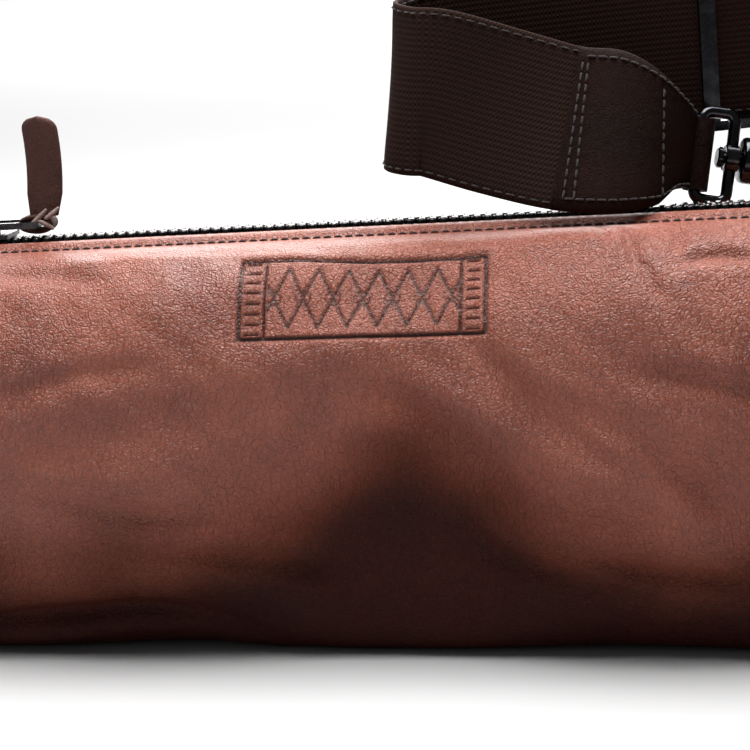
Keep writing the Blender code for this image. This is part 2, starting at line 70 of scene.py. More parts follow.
# ---- materials ----
class Nodes:
    """Short way to write a material's node tree."""

    def __init__(self, name):
        self.material = bpy.data.materials.new(name)
        self.material.use_nodes = True
        self.tree = self.material.node_tree
        self.shader = self.tree.nodes["Principled BSDF"]

    def add(self, kind, inputs=None, **settings):
        node = self.tree.nodes.new(kind)
        for key, value in settings.items():
            setattr(node, key, value)
        for key, value in (inputs or {}).items():
            self.feed(node.inputs[key], value)
        return node

    def feed(self, socket, value):
        if isinstance(value, bpy.types.NodeSocket):
            self.tree.links.new(value, socket)
        else:
            socket.default_value = value

    def coords(self, kind="Object"):
        return self.add("ShaderNodeTexCoord").outputs[kind]

    def scaled(self, vector, scale):
        node = self.add("ShaderNodeVectorMath", operation="MULTIPLY")
        self.feed(node.inputs[0], vector)
        node.inputs[1].default_value = scale
        return node.outputs[0]

    def noise(self, vector, scale, detail=4.0):
        return self.add("ShaderNodeTexNoise", {"Vector": vector, "Scale": scale, "Detail": detail,
                                               "Roughness": 0.55}).outputs[0]

    def cells(self, vector, scale, feature="DISTANCE_TO_EDGE"):
        return self.add("ShaderNodeTexVoronoi", {"Vector": vector, "Scale": scale},
                        feature=feature).outputs["Distance"]

    def ramp(self, value, stops):
        node = self.add("ShaderNodeValToRGB", {"Fac": value})
        ends = node.color_ramp.elements
        while len(ends) < len(stops):
            ends.new(0.5)
        for end, (place, colour) in zip(ends, stops):
            end.position = place
            end.color = (*colour, 1.0)
        return node.outputs[0]

    def math(self, operation, a, b=0.0):
        node = self.add("ShaderNodeMath", operation=operation)
        self.feed(node.inputs[0], a)
        self.feed(node.inputs[1], b)
        return node.outputs[0]

    def times(self, a, b):
        return self.math("MULTIPLY", a, b)

    def plus(self, a, b):
        return self.math("ADD", a, b)

    def spread(self, value, low, high, to_low=0.0, to_high=1.0):
        return self.add("ShaderNodeMapRange", {"Value": value, "From Min": low, "From Max": high,
                                               "To Min": to_low, "To Max": to_high}).outputs[0]

    def mix(self, share, a, b, blend="MIX"):
        node = self.add("ShaderNodeMix", data_type="RGBA", blend_type=blend)
        self.feed(node.inputs["Factor"], share)
        for socket, value in ((node.inputs[6], a), (node.inputs[7], b)):
            self.feed(socket, value if isinstance(value, bpy.types.NodeSocket) else (*value, 1.0))
        return node.outputs[2]

    def bump(self, height, distance, strength=1.0, normal=None):
        node = self.add("ShaderNodeBump", {"Height": height, "Distance": distance,
                                           "Strength": strength})
        if normal is not None:
            self.feed(node.inputs["Normal"], normal)
        return node.outputs[0]

    def finish(self, **values):
        for key, value in values.items():
            self.feed(self.shader.inputs[key.replace("_", " ")], value)
        return self.material


def leather(name, dark, mid, light, grain=900.0, roughness=(0.36, 0.52), fine=0.00030,
            shine=0.6, painted_shade_tint=None):
    """Grained leather: pebbles with creases between, mottled colour, dye held in pressed lines.

    The tint given last is painted shade: the mesh's shade attribute multiplies it into the colour at the base and
    in the hollow, and lowers the shine there too."""
    n = Nodes(name)
    at = n.coords()
    bent = n.add("ShaderNodeVectorMath", operation="ADD")
    n.feed(bent.inputs[0], at)
    colour_noise = n.add("ShaderNodeTexNoise", {"Vector": at, "Scale": 420.0}).outputs["Color"]
    n.feed(bent.inputs[1], n.scaled(colour_noise, (0.0016,) * 3))
    pebble = n.cells(bent.outputs[0], grain)
    small = n.cells(bent.outputs[0], grain * 2.4)
    wrinkles = n.cells(n.scaled(bent.outputs[0], (1.0, 1.0, 0.7)), grain * 0.56)
    veins = n.cells(n.scaled(bent.outputs[0], (0.6, 1.0, 1.0)), grain * 0.16)
    mottled = n.noise(at, 38.0, 6.0)
    grain_zone = n.noise(at, 16.0, 2.0)
    colour = n.ramp(mottled, [(0.30, dark), (0.52, mid), (0.74, light)])
    for pattern, shade, wide, share in (
            (pebble, (0.62, 0.56, 0.54), 0.14, n.times(grain_zone, 1.3)),
            (wrinkles, (0.60, 0.52, 0.50), 0.06, 0.75), (veins, (0.66, 0.6, 0.58), 0.035, 0.22)):
        lines = n.ramp(pattern, [(0.0, shade), (wide, WHITE)])
        colour = n.mix(share, colour, lines, "MULTIPLY")
    pressed = n.add("ShaderNodeAttribute", attribute_name="pressed").outputs["Fac"]
    colour = n.mix(n.times(pressed, 0.85), colour, (0.022, 0.006, 0.004))
    # painted shade: a dark tint multiplied in and less shine, at the base and in the hollow
    if painted_shade_tint:
        painted_shade_share = n.add("ShaderNodeAttribute", attribute_name="painted_shade").outputs["Fac"]
        rise = n.math("SUBTRACT", 1.0, n.math("MINIMUM", painted_shade_share, 1.0))
        colour = n.mix(rise, n.mix(1.0, colour, painted_shade_tint, "MULTIPLY"), colour)
        shine = n.times(n.plus(n.math("POWER", rise, 2.5), 0.26), shine)
    relief = n.plus(n.times(n.math("MINIMUM", pebble, 0.26), 2.0),
                    n.times(n.math("MINIMUM", small, 0.3), 0.8))
    normal = n.bump(relief, fine, 0.8)
    normal = n.bump(n.math("MINIMUM", wrinkles, 0.12), fine * 4.0, 0.6, normal)
    normal = n.bump(n.math("MINIMUM", veins, 0.06), 0.0018, 0.4, normal)
    normal = n.bump(n.noise(at, 300.0, 4.0), 0.0007, 0.45, normal)
    return n.finish(Base_Color=colour, Roughness=n.spread(mottled, 0.3, 0.7, *roughness),
                    Normal=normal, Specular_IOR_Level=shine, Sheen_Weight=0.0)


def webbing(name, dark, light):
    """Ribbed cotton webbing on a strap whose UV runs in metres along and across it."""
    n = Nodes(name)
    uv = n.coords("UV")
    split = n.add("ShaderNodeSeparateXYZ", {"Vector": uv})
    along, across = split.outputs[0], split.outputs[1]
    rib = n.math("SINE", n.times(along, 2 * pi / 0.0012))
    cross = n.math("SINE", n.times(across, 2 * pi / 0.0017))
    woven = n.plus(n.times(n.times(rib, cross), 0.5), n.times(cross, 0.35))
    fibre = n.noise(n.scaled(uv, (900.0, 5200.0, 1.0)), 1.0, 3.0)
    height = n.plus(woven, n.times(fibre, 0.8))
    colour = n.mix(n.spread(height, -0.6, 1.4), dark, light)
    return n.finish(Base_Color=colour, Roughness=0.82, Normal=n.bump(height, 0.00016, 1.0),
                    Specular_IOR_Level=0.08)


def metal(name, colour, roughness, worn):
    """Dark-plated metal, slightly uneven, with brighter worn places."""
    n = Nodes(name)
    at = n.coords()
    wear = n.ramp(n.noise(at, 180.0), [(0.45, (0.0, 0.0, 0.0)), (0.75, WHITE)])
    tint = n.mix(wear, colour, worn)
    rough = n.spread(n.noise(at, 900.0, 3.0), 0.3, 0.7, roughness - 0.07, roughness + 0.1)
    return n.finish(Base_Color=tint, Metallic=1.0, Roughness=rough,
                    Normal=n.bump(n.noise(at, 700.0, 3.0), 0.0001, 0.25))


def cloth(name, dark, light, pitch=0.0008):
    """Plain woven cloth read in the object's own space."""
    n = Nodes(name)
    at = n.scaled(n.coords(), (2 * pi / pitch,) * 3)
    split = n.add("ShaderNodeSeparateXYZ", {"Vector": at})
    warp = n.math("SINE", split.outputs[0])
    weft = n.math("SINE", n.plus(split.outputs[1], split.outputs[2]))
    weave = n.plus(n.times(warp, weft), n.noise(n.coords(), 2500.0))
    return n.finish(Base_Color=n.mix(n.spread(weave, -0.5, 1.5), dark, light), Roughness=0.88,
                    Normal=n.bump(weave, 0.0002, 0.8), Sheen_Weight=0.2)


def foam(name):
    n = Nodes(name)
    pores = n.cells(n.coords(), 1400.0, "F1")
    colour = n.ramp(pores, [(0.1, (0.34, 0.31, 0.25)), (0.6, (0.62, 0.59, 0.50))])
    return n.finish(Base_Color=colour, Roughness=0.95, Normal=n.bump(pores, 0.0004, 0.7))


# ---- mesh helpers ----
def add_object(name, data):
    obj = bpy.data.objects.new(name, data)
    bpy.context.scene.collection.objects.link(obj)
    return obj


def make(name, points, faces, material, body, sharp=40.0):
    """One smooth-shaded piece that rides its body, with edges above an angle kept sharp."""
    mesh = bpy.data.meshes.new(name)
    mesh.from_pydata([tuple(map(float, p)) for p in points], [], faces)
    mesh.materials.append(material)
    obj = add_object(name, mesh)
    mesh.shade_smooth()
    if sharp:
        mesh.set_sharp_from_angle(angle=radians(sharp))
    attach(obj, body)
    return obj


def volume_sign(points, faces):
    """Six times the volume inside, so negative where the faces look inwards."""
    total = 0.0
    for face in faces:
        a = points[face[0]]
        for i in range(1, len(face) - 1):
            total += float(np.dot(a, np.cross(points[face[i]], points[face[i + 1]])))
    return total


def skin(rows, count, closed=False, start=0):
    """Faces over rows of count points, with a flat face at each end unless closed."""
    faces = []
    for i in range(rows if closed else rows - 1):
        a, b = start + i * count, start + (i + 1) % rows * count
        faces += [(a + j, a + (j + 1) % count, b + (j + 1) % count, b + j) for j in range(count)]
    if not closed:
        faces.append(tuple(reversed(range(start, start + count))))
        faces.append(tuple(range(start + (rows - 1) * count, start + rows * count)))
    return faces


def turns(count):
    """Angles of count even steps round a circle."""
    return [2 * pi * j / count for j in range(count)]


def circle(centre, side, up, radius, sides):
    return [centre + side * (radius * cos(t)) + up * (radius * sin(t))
            for t in turns(sides)]


def rounded(angle, power):
    """Cosine that stays near its ends, for a ring with flatter sides."""
    value = cos(angle)
    return copysign(abs(value) ** power, value)


def tube_parts(path, radii, sides=16, closed=False, start=0):
    """Points and faces of a round wire with a radius at each point of its path."""
    path = np.array([tuple(p) for p in path], float)
    count = len(path)
    radii = np.broadcast_to(radii, count)
    points, side = [], None
    for i in range(count):
        if closed:
            along = path[(i + 1) % count] - path[i - 1]
        else:
            along = path[min(i + 1, count - 1)] - path[max(i - 1, 0)]
        along = along / np.linalg.norm(along)
        if side is None:
            side = np.cross(along, (0.0, 0.0, 1.0) if abs(along[2]) < 0.8 else (1.0, 0.0, 0.0))
        side = side - along * np.dot(side, along)
        side = side / np.linalg.norm(side)
        points += circle(path[i], side, np.cross(along, side), radii[i], sides)
    return points, skin(count, sides, closed, start)


def tube(name, path, radii, material, body, **more):
    points, faces = tube_parts(path, radii, **more)
    return make(name, points, faces, material, body)


def turned(name, origin, along, profile, material, body, sides=40):
    """A lathe piece: rows of (distance along the axis, radius), with small bevels."""
    axis = Vector(along).normalized()
    side = axis.orthogonal().normalized()
    up = axis.cross(side)
    points = [p for a, r in profile
              for p in circle(Vector(origin) + Vector(along) * a, side, up, r, sides)]
    return make(name, points, skin(len(profile), sides), material, body, sharp=30.0)


def rings(name, rows, material, body, closed=False, sharp=40.0):
    """Join equal rings of points into one closed solid."""
    points = [np.array(p, float) for row in rows for p in row]
    faces = skin(len(rows), len(rows[0]), closed)
    if volume_sign(points, faces) < 0:
        faces = [face[::-1] for face in faces]
    return make(name, points, faces, material, body, sharp=sharp)


def smooth_curve(keys, steps):
    """Points on a smooth curve through the keys, with steps of them to a span."""
    keys = np.array(keys, float)
    rows = []
    for i in range(len(keys) - 1):
        a, b, c, d = keys[max(i - 1, 0)], keys[i], keys[i + 1], keys[min(i + 2, len(keys) - 1)]
        for t in np.arange(steps) / steps:
            rows.append(0.5 * (2 * b + (c - a) * t + (2 * a - 5 * b + 4 * c - d) * t * t
                               + (3 * b - a - 3 * c + d) * t ** 3))
    rows.append(keys[-1])
    return np.array(rows)


def running(path):
    """Length along a path at each of its points."""
    return np.concatenate(([0.0], np.cumsum(np.linalg.norm(np.diff(path, axis=0), axis=1))))


# ---- the body's shape ----
def zip_height(x):
    return HEIGHT + TAPER * x


# the front's (y, share of the height) from the mouth down to the base corner
SECTION = [(-0.0060, 0.999), (-0.0130, 0.983), (-0.0200, 0.957), (-0.0270, 0.918),
           (-0.0335, 0.855), (-0.0385, 0.765), (-0.0415, 0.64), (-0.0427, 0.50),
           (-0.0422, 0.35), (-0.0400, 0.21), (-0.0362, 0.09), (-0.0325, 0.025), (-BASE_HALF, 0.0)]


# front half of the section at the middle height, and its running length
HALF = smooth_curve([(y, share * HEIGHT) for y, share in SECTION], 10)
RUN = running(HALF)
SIDE = RUN[-1]                       # mouth to base corner
WHOLE = 2 * SIDE + 2 * BASE_HALF


def base_shape(s):
    """(y, z) of the undeformed section at running length s from the front mouth."""
    s = np.asarray(s, float)
    from_mouth = np.minimum(np.where(s <= SIDE, s, WHOLE - s), SIDE)
    y = np.interp(from_mouth, RUN, HALF[:, 0]) * np.where(s <= SIDE, 1, -1)
    z = np.interp(from_mouth, RUN, HALF[:, 1])
    on_base = (s > SIDE) & (s < WHOLE - SIDE)
    return np.where(on_base, -BASE_HALF + (s - SIDE), y), np.where(on_base, 0.0, z)


def waves(x, s, seed, wavelength):
    """Smooth fixed unevenness between about -1 and 1."""
    count = 7
    rng = np.random.default_rng(seed)
    total = np.zeros(np.broadcast(x, s).shape)
    for _ in range(count):
        angle, phase = rng.uniform(0, pi), rng.uniform(0, 2 * pi)
        k = 2 * pi / (wavelength * rng.uniform(0.6, 1.7))
        total += np.sin(k * (x * cos(angle) + s * sin(angle)) + phase)
    return total / sqrt(count)


def bell(value, width):
    return np.exp(-(value / width) ** 2)


# creases of the front: (x, s) from, (x, s) to, depth, half width, bend
CREASES = [
    (-0.1880, 0.006, -0.1835, 0.020, 0.0011, 0.0016, 0.001),
    (-0.1815, 0.012, -0.1765, 0.028, 0.0010, 0.0016, 0.0015),
    (-0.1765, 0.026, -0.1700, 0.038, 0.0008, 0.0018, 0.001),
    (-0.1665, 0.004, -0.1640, 0.026, 0.0010, 0.0018, 0.001),
    (-0.1645, 0.028, -0.1440, 0.027, 0.0008, 0.0020, 0.0015),
    (-0.1370, 0.004, -0.1390, 0.018, 0.0022, 0.0030, 0.0005),
    (-0.2480, 0.060, -0.2140, 0.092, 0.0016, 0.0040, 0.003),
    (-0.2200, 0.050, -0.1750, 0.088, 0.0014, 0.0040, -0.003),
    (-0.2650, 0.078, -0.2150, 0.118, 0.0014, 0.0036, 0.004),
    (-0.1980, 0.064, -0.1450, 0.105, 0.0014, 0.0042, 0.003),
    (-0.1750, 0.058, -0.1300, 0.070, 0.0010, 0.0030, 0.002),
    (-0.3600, 0.060, -0.3150, 0.052, 0.0007, 0.0030, 0.002),
    (-0.3550, 0.088, -0.2950, 0.100, 0.0010, 0.0040, -0.003),
    (-0.3200, 0.110, -0.2600, 0.122, 0.0012, 0.0035, 0.002),
    (-0.2350, 0.108, -0.1800, 0.128, 0.0014, 0.0040, 0.002),
    (-0.1950, 0.112, -0.1400, 0.122, 0.0012, 0.0035, -0.002),
    (-0.3700, 0.020, -0.3300, 0.026, 0.0006, 0.0030, 0.001),
    (-0.0800, 0.040, -0.0200, 0.085, 0.0013, 0.0045, 0.004),
    (0.0300, 0.055, 0.0900, 0.100, 0.0013, 0.0045, -0.004),
    (0.1600, 0.045, 0.2100, 0.090, 0.0013, 0.0045, 0.004),
    (0.2800, 0.050, 0.3500, 0.080, 0.0013, 0.0045, 0.003),
]


def creases(x, s):
    total = np.zeros(np.broadcast(x, s).shape)
    for x0, s0, x1, s1, depth, width, bend in CREASES:
        dx, ds = x1 - x0, s1 - s0
        length = hypot(dx, ds)
        t = ((x - x0) * dx + (s - s0) * ds) / length ** 2
        off = ((x - x0) * ds - (s - s0) * dx) / length - bend * np.sin(np.pi * np.clip(t, 0, 1))
        fade = np.clip(np.minimum(t + 0.15, 1.15 - t) / 0.35, 0, 1)
        fade = fade * fade * (3 - 2 * fade)
        total += fade * (-depth * bell(off, width) + 0.45 * depth * bell(off - 2.1 * width, 1.5 * width)
                         + 0.35 * depth * bell(off + 2.3 * width, 1.6 * width))
    return total


# the pressed panel on the front: generic border with a lozenge pattern
STAMP_X = (-0.2887, -0.2181)
STAMP_S = (0.0212, 0.0449)


def groove(distance, width):
    return 1.0 / (1.0 + np.exp((np.abs(distance) - width) / 0.00012))


def stamp(x, s):
    """Depth pressed into the leather: about 1 in the lines, less over the whole panel."""
    half_x, half_s = (STAMP_X[1] - STAMP_X[0]) / 2, (STAMP_S[1] - STAMP_S[0]) / 2
    px, ps = x - (STAMP_X[0] + half_x), s - (STAMP_S[0] + STAMP_S[1]) / 2
    box = np.maximum(np.abs(px) - half_x, np.abs(ps) - half_s)
    inside = box < -0.0006
    # border and a divider near each end
    press = groove(box, 0.00055)
    for sign in (1, -1):
        press = np.maximum(press, inside * groove(px - sign * (half_x - 0.0072), 0.00035))
    # lozenges with a small ring at each crossing
    middle = (np.abs(px) < half_x - 0.0078) & (np.abs(ps) < half_s - 0.0015)
    pitch = 0.0085
    cell = np.abs(np.mod(px, pitch) - pitch / 2) / (pitch / 2)
    row = np.abs(ps) / (half_s - 0.0030)
    press = np.maximum(press, middle * 0.75 * groove((cell + row - 1.0) * 0.0034, 0.00030))
    off_crossing = np.hypot(np.mod(px + pitch / 2, pitch) - pitch / 2, ps)
    press = np.maximum(press, middle * 0.6 * groove(np.abs(off_crossing - 0.0020), 0.00022))
    # short bars in the end strips
    in_strip = inside * (np.abs(np.abs(px) - (half_x - 0.0036)) < 0.0022)
    press = np.maximum(press, 0.6 * in_strip * groove(np.mod(ps, 0.0030) - 0.0015, 0.00032))
    return press + 0.35 / (1.0 + np.exp(box / 0.0009))


# the front's large forms: (rise, x, half width, s, half height)
FORMS = [
    (-0.0066, -0.243, 0.032, 0.094, 0.028),    # hollow near the middle of the view
    (0.0030, -0.335, 0.045, 0.085, 0.040),     # bulges left and right of it
    (0.0032, -0.175, 0.032, 0.070, 0.035),
]
# where the front's lower edge rises from the floor: (height, x, half width)
LIFTS = [(0.0024, -0.312, 0.028), (0.0018, -0.178, 0.036), (0.0016, 0.100, 0.050)]
FOLD_X = -0.335           # the fold under the bulge at the lower left
BELLY = 0.0026            # fuller than the plain section all round
DEEPEST = -0.0012         # as far in as the padding allows
STAMP_DEPTH = 0.0011


def outward(s):
    """Section point at running length s and the direction out of the leather."""
    y, z = base_shape(s)
    y0, z0 = base_shape(s - 0.0006)
    y1, z1 = base_shape(s + 0.0006)
    rise, run = z1 - z0, y0 - y1
    size = np.hypot(rise, run) + 1e-12
    ny, nz = -np.abs(rise / size) * np.sign(WHOLE / 2 - s), run / size
    nz = np.where((s > SIDE) & (s < WHOLE - SIDE), -1.0, nz)
    return y, z, ny, nz


def swell(x, s):
    """How far the leather stands out from the plain section."""
    front = s < WHOLE / 2
    from_mouth = np.minimum(s, WHOLE - s)
    off_base = np.clip(np.minimum(np.abs(s - WHOLE / 2) - BASE_HALF, 0.03) / 0.03, 0, 1)
    open_side = np.clip((from_mouth - 0.007) / 0.012, 0, 1)
    # seam: a low ridge beside the zip, a stitched valley, then the padded swell
    out = 0.0007 * bell(from_mouth - 0.0025, 0.0018) - 0.0007 * bell(from_mouth - SEAM_AT, 0.0013)
    out += 0.0012 * bell(from_mouth - 0.012, 0.005) * open_side
    soft = open_side * off_base
    out += soft * (0.0016 * waves(x, s, 3, 0.11) + 0.0007 * waves(x, s, 8, 0.035)
                   + 0.00022 * waves(x, s, 21, 0.012))
    out += 1.4 * soft * creases(x, s) * front
    out += soft * creases(-x - 0.1, WHOLE - s) * ~front
    out += front * soft * sum(rise * bell(x - at_x, wide) * bell(s - at_s, tall)
                              for rise, at_x, wide, at_s, tall in FORMS)
    right = x - FOLD_X
    fold_s = 0.128 + 6.0 * np.clip(-right, -1, 0) ** 2 - 0.10 * right
    out += front * bell(right + 0.010, 0.042) * (
        -0.0042 * bell(s - fold_s - 0.004, 0.0030) + 0.0026 * bell(s - fold_s + 0.008, 0.008)
        + 0.0018 * bell(s - fold_s - 0.012, 0.004))
    out += BELLY * soft
    soften = 0.0006
    return DEEPEST + soften * np.logaddexp(0.0, (out - DEEPEST) / soften)


def body_surface(x, s, inset=0.0):
    """Points of the leather's outside at (x, s), or of its inside with an inset."""
    x, s = np.broadcast_arrays(np.asarray(x, float), np.asarray(s, float))
    front = s < WHOLE / 2
    y, z, ny, nz = outward(s)
    out = swell(x, s) - (inset if inset else STAMP_DEPTH * stamp(x, s) * front)
    y, z = y + ny * out, z + nz * out
    lift = front * sum(high * bell(x - at_x, wide) for high, at_x, wide in LIFTS)
    z = z + lift * bell(s - SIDE, 0.022)
    drawn_in = 0.016
    ends = np.clip((np.abs(x) - (END_X - drawn_in)) / drawn_in, 0, 1) ** 3
    narrow, lower = 1.0 - 0.022 * ends, 1.0 - 0.012 * ends
    return np.stack([x, y * narrow, z * lower * zip_height(x) / HEIGHT], axis=-1)


def painted_shade(x, s):
    """Painted shade on the leather, 0 to 1: dark at the base, higher up in the hollow, lower over the bulges
    beside it.
    """
    edge = (0.109 - 0.032 * bell(x + 0.240, 0.032) + 0.008 * bell(x + 0.160, 0.025)
            + 0.008 * bell(x + 0.345, 0.030) + 0.003 * waves(x, s, 31, 0.04))
    share = np.clip((np.minimum(s, WHOLE - s) - edge) / 0.048 + 0.5, 0, 1)
    return share * share * (3 - 2 * share)


def spaced(stops):
    """Rising values through (start, step) stops up to the last start."""
    values = []
    for (start, step), (end, _) in zip(stops, stops[1:]):
        count = max(1, round((end - start) / step))
        values += [start + (end - start) * i / count for i in range(count)]
    values.append(stops[-1][0])
    return np.array(values)


def build_body(mats):
    """Leather of the front, back and base in one piece, finest at the pressed panel."""
    xs = spaced([(-END_X, 0.002), (-0.380, 0.0014), (-0.294, 0.0005), (-0.213, 0.0012),
                 (-0.120, 0.0035), (END_X, 0)])
    ss = spaced([(0.0, 0.0006), (0.0078, 0.0007), (0.0200, 0.0005), (0.0475, 0.0011),
                 (SIDE + 0.004, 0.005), (SIDE + 2 * BASE_HALF, 0.003), (WHOLE - 0.008, 0.0008),
                 (WHOLE, 0)])
    inner = np.linspace(WHOLE - 0.002, 0.002, 60)
    grid_x, grid_s = np.meshgrid(xs, ss, indexing="ij")
    outside = body_surface(grid_x, grid_s)
    in_x, in_s = np.meshgrid(xs, inner, indexing="ij")
    inside = body_surface(in_x, in_s, THICKNESS)
    rows = np.concatenate([outside, inside], axis=1)
    faces = [face[::-1] for face in skin(len(xs), rows.shape[1])]
    body = make("leather_body", rows.reshape(-1, 3), faces, mats["case_leather"], "case", sharp=70.0)
    pressed = np.clip((stamp(grid_x, grid_s) - 0.36) * 1.6, 0, 1) * (grid_s < SIDE)
    # the stamp's dyed lines, and painted shade at the base and in the hollow
    for name, values in (("pressed", pressed), ("painted_shade", painted_shade(grid_x, grid_s))):
        whole = np.zeros(rows.shape[:2])
        whole[:, :len(ss)] = values
        body.data.attributes.new(name, "FLOAT", "POINT").data.foreach_set("value", whole.ravel())
    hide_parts("front_panel", "back_panel", "base_panel")


def build_ends(mats):
    """Padded end panels with piping round them."""
    for side, sign in (("left", -1), ("right", 1)):
        edge = body_surface(sign * END_X, np.linspace(0.002, WHOLE - 0.002, 120))
        centre = edge.mean(axis=0)
        rows = []
        # back face, then a rolled rim, then the padded dome
        for out, size in ((-0.0010, 0.02), (-0.0010, 0.5), (-0.0008, 0.93), (0.0002, 0.955),
                          (0.0016, 0.945), (0.0034, 0.88), (0.0048, 0.72), (0.0056, 0.48),
                          (0.0060, 0.22), (0.0061, 0.02)):
            ring = centre + (edge - centre) * size
            ring[:, 0] = sign * (END_X + out)
            rows.append(ring)
        panel = rings("end_cap_" + side, rows, mats["case_leather"], "case", sharp=60.0)
        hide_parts(side + "_end_panel")
        path = centre + (edge - centre) * 0.985
        path[:, 0] = sign * (END_X + 0.0008)
        piping = tube("end_piping_" + side, path, 0.0017, mats["trim_leather"], "case", sides=12,
                      closed=True)


# ---- stitches and zip ----
def stitch_row(name, places, material, body, radius=0.00034, long=0.0024):
    """Short raised threads, each lying between two points of a seam."""
    points, faces = [], []
    for here, ahead, out in places:
        here, ahead, out = map(np.array, (here, ahead, out))
        step = (ahead - here) / np.linalg.norm(ahead - here)
        path, radii = [], []
        for t, rise, r in ((0, -0.5, 0.6), (0.12, 0.25, 0.95), (0.35, 0.75, 1), (0.65, 0.75, 1),
                           (0.88, 0.25, 0.95), (1, -0.5, 0.6)):
            path.append(here + step * (long * t) + out * (radius * rise))
            radii.append(radius * r)
        more_points, more_faces = tube_parts(path, radii, 7, start=len(points))
        points += more_points
        faces += more_faces
    return make(name, points, faces, material, body)


def build_seams(mats):
    """The row of stitches beside the zip, front and back."""
    for side, from_mouth in (("front", SEAM_AT), ("back", WHOLE - SEAM_AT)):
        xs = np.arange(-0.402, 0.400, STITCH_PITCH)
        here = body_surface(xs, from_mouth)
        ahead = body_surface(xs + STITCH_PITCH, from_mouth)
        out = np.array((0.0, -0.3 if side == "front" else 0.3, 0.95))
        seam = stitch_row("mouth_stitches_" + side, [(a, b, out) for a, b in zip(here, ahead)],
                          mats["thread"], "case")


TOOTH_OUTLINE = [(-0.5, -0.4), (-0.5, 0.4), (-0.36, 0.512), (0.36, 0.512), (0.5, 0.4), (0.5, -0.4),
                 (0.36, -0.512), (-0.36, -0.512)]
# a tooth from its tape to its tip: reach from the middle, width, height
TOOTH_RINGS = [(0.0041, 0.0017, 0.0022), (0.0037, 0.0021, 0.0030), (0.0012, 0.0021, 0.0030),
               (-0.0002, 0.0016, 0.0027), (-0.0009, 0.0011, 0.0018)]
TOOTH_LOW = 0.0004        # a tooth's middle under the zip line


def tooth(x, sign, start):
    """Points and faces of one tooth at x; start is the number of its first point."""
    points = [(x + u * wide, sign * reach, zip_height(x) - TOOTH_LOW + v * tall + u * wide * TAPER)
              for reach, wide, tall in TOOTH_RINGS for u, v in TOOTH_OUTLINE]
    faces = skin(len(TOOTH_RINGS), len(TOOTH_OUTLINE), start=start)
    return points, faces if sign < 0 else [face[::-1] for face in faces]


def build_zip(mats):
    """Metal teeth on both tapes, closed over the whole length."""
    for side, sign, offset in (("front", -1, 0.0), ("back", 1, TOOTH_PITCH / 2)):
        points, faces = [], []
        for x in np.arange(CHAIN_START + offset + 0.001, CHAIN_END - 0.002, TOOTH_PITCH):
            more_points, more_faces = tooth(x, sign, len(points))
            points += more_points
            faces += more_faces
        teeth = make("metal_teeth_" + side, points, faces, mats["zip_metal"], "case", sharp=50.0)
        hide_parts("zip_teeth_" + side)


# ---- slider and puller ----
def axes(along, side, out, place):
    """Matrix with these three directions as its axes."""
    mat = Matrix((along, side, out)).transposed().to_4x4()
    mat.translation = Vector(place)
    return mat


def slider_frame():
    """Along the zip, across it and up, at the pull's bar."""
    along = Vector(JOINTS["zip_slide"]["axis"]).normalized()
    up = Vector((-along.z, 0.0, along.x))
    return axes(along, Vector((0.0, 1.0, 0.0)), up, JOINTS["puller_hinge"]["pos_m"])


def puller_flap(mats, at):
    """The strip's end, upright above the fold."""
    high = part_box("leather_puller")[1]
    flap_low = Vector((high[0] - 0.0112, 0.0, at.translation.z + 0.0022))
    tall, wide, thick = high[2] - flap_low.z, 0.0112, 0.0018
    rows = []
    steps = 36
    for i in range(steps + 1):
        t = i / steps
        z = flap_low.z + tall * t
        # rounded head, waist just over the fold
        head = max(0.0, (t - 0.86) / 0.14)
        half = wide / 2 * sqrt(max(1e-4, 1 - head ** 2.2)) * (0.80 + 0.20 * min(1.0, t / 0.22))
        centre_x = high[0] - wide / 2 - 0.0008 + 0.0010 * sin(3.0 * t)
        lean = 0.0012 * sin(2.2 * t) - 0.0010 * t
        ring = []
        for a in turns(24):
            u, v = rounded(a, 0.45), rounded(a - pi / 2, 0.75)
            cup = 0.0007 * u * u
            ring.append((centre_x + u * half, lean + v * thick / 2 + cup, z))
        rows.append(ring)
    flap = rings("puller_flap", rows, mats["puller_leather"], "puller", sharp=0)


def puller_fold(mats, at):
    """A flattened loop of the same strip round the pull's bar."""
    rows = []
    radius_z = 0.0020
    for a in turns(44):
        radius_x = 0.0064 if cos(a) < 0 else 0.0046
        centre = at @ Vector((radius_x * cos(a) * 0.86, 0.0, radius_z * sin(a)))
        out = (at.to_3x3() @ Vector((cos(a) / radius_x, 0.0, sin(a) / radius_z))).normalized()
        across = 0.0030 + 0.0006 * sin(a + 0.6)
        ring = []
        for b in turns(16):
            u = rounded(b, 0.5)
            ring.append(centre + Vector((0.0, 1.0, 0.0)) * (u * across)
                        + out * (0.0009 * sin(b) + 0.0005 * u * u))
        rows.append(ring)
    fold = rings("puller_fold", rows, mats["puller_leather"], "puller", closed=True, sharp=0)
    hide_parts("leather_puller")


def puller_edges(mats, at):
    """Raw cut edges where the strip passes through its own slit."""
    edges = (((-0.0030, -0.0036, -0.0010), (0.0004, -0.0038, 0.0016), (0.0034, -0.0030, 0.0046)),
             ((0.0072, -0.0024, 0.0050), (0.0046, -0.0035, 0.0024), (0.0028, -0.0038, 0.0018)),
             ((0.0052, -0.0034, -0.0016), (0.0030, -0.0038, 0.0004), (0.0004, -0.0038, 0.0014)))
    shares = np.linspace(0, 1, 10)
    for number, route in enumerate(edges):
        a, b, c = (np.array(at @ Vector(p)) for p in route)
        path = [a * (1 - t) ** 2 + 2 * b * t * (1 - t) + c * t * t for t in shares]
        radii = [0.0004 + 0.0004 * sin(pi * t) for t in shares]
        edge = tube("cut_edge_%d" % number, path, radii, mats["raw_edge"], "puller", sides=10)


def build_puller(mats):
    """Leather strip: a fold round the pull's bar, then its end standing up."""
    at = slider_frame()
    puller_flap(mats, at)
    puller_fold(mats, at)
    puller_edges(mats, at)


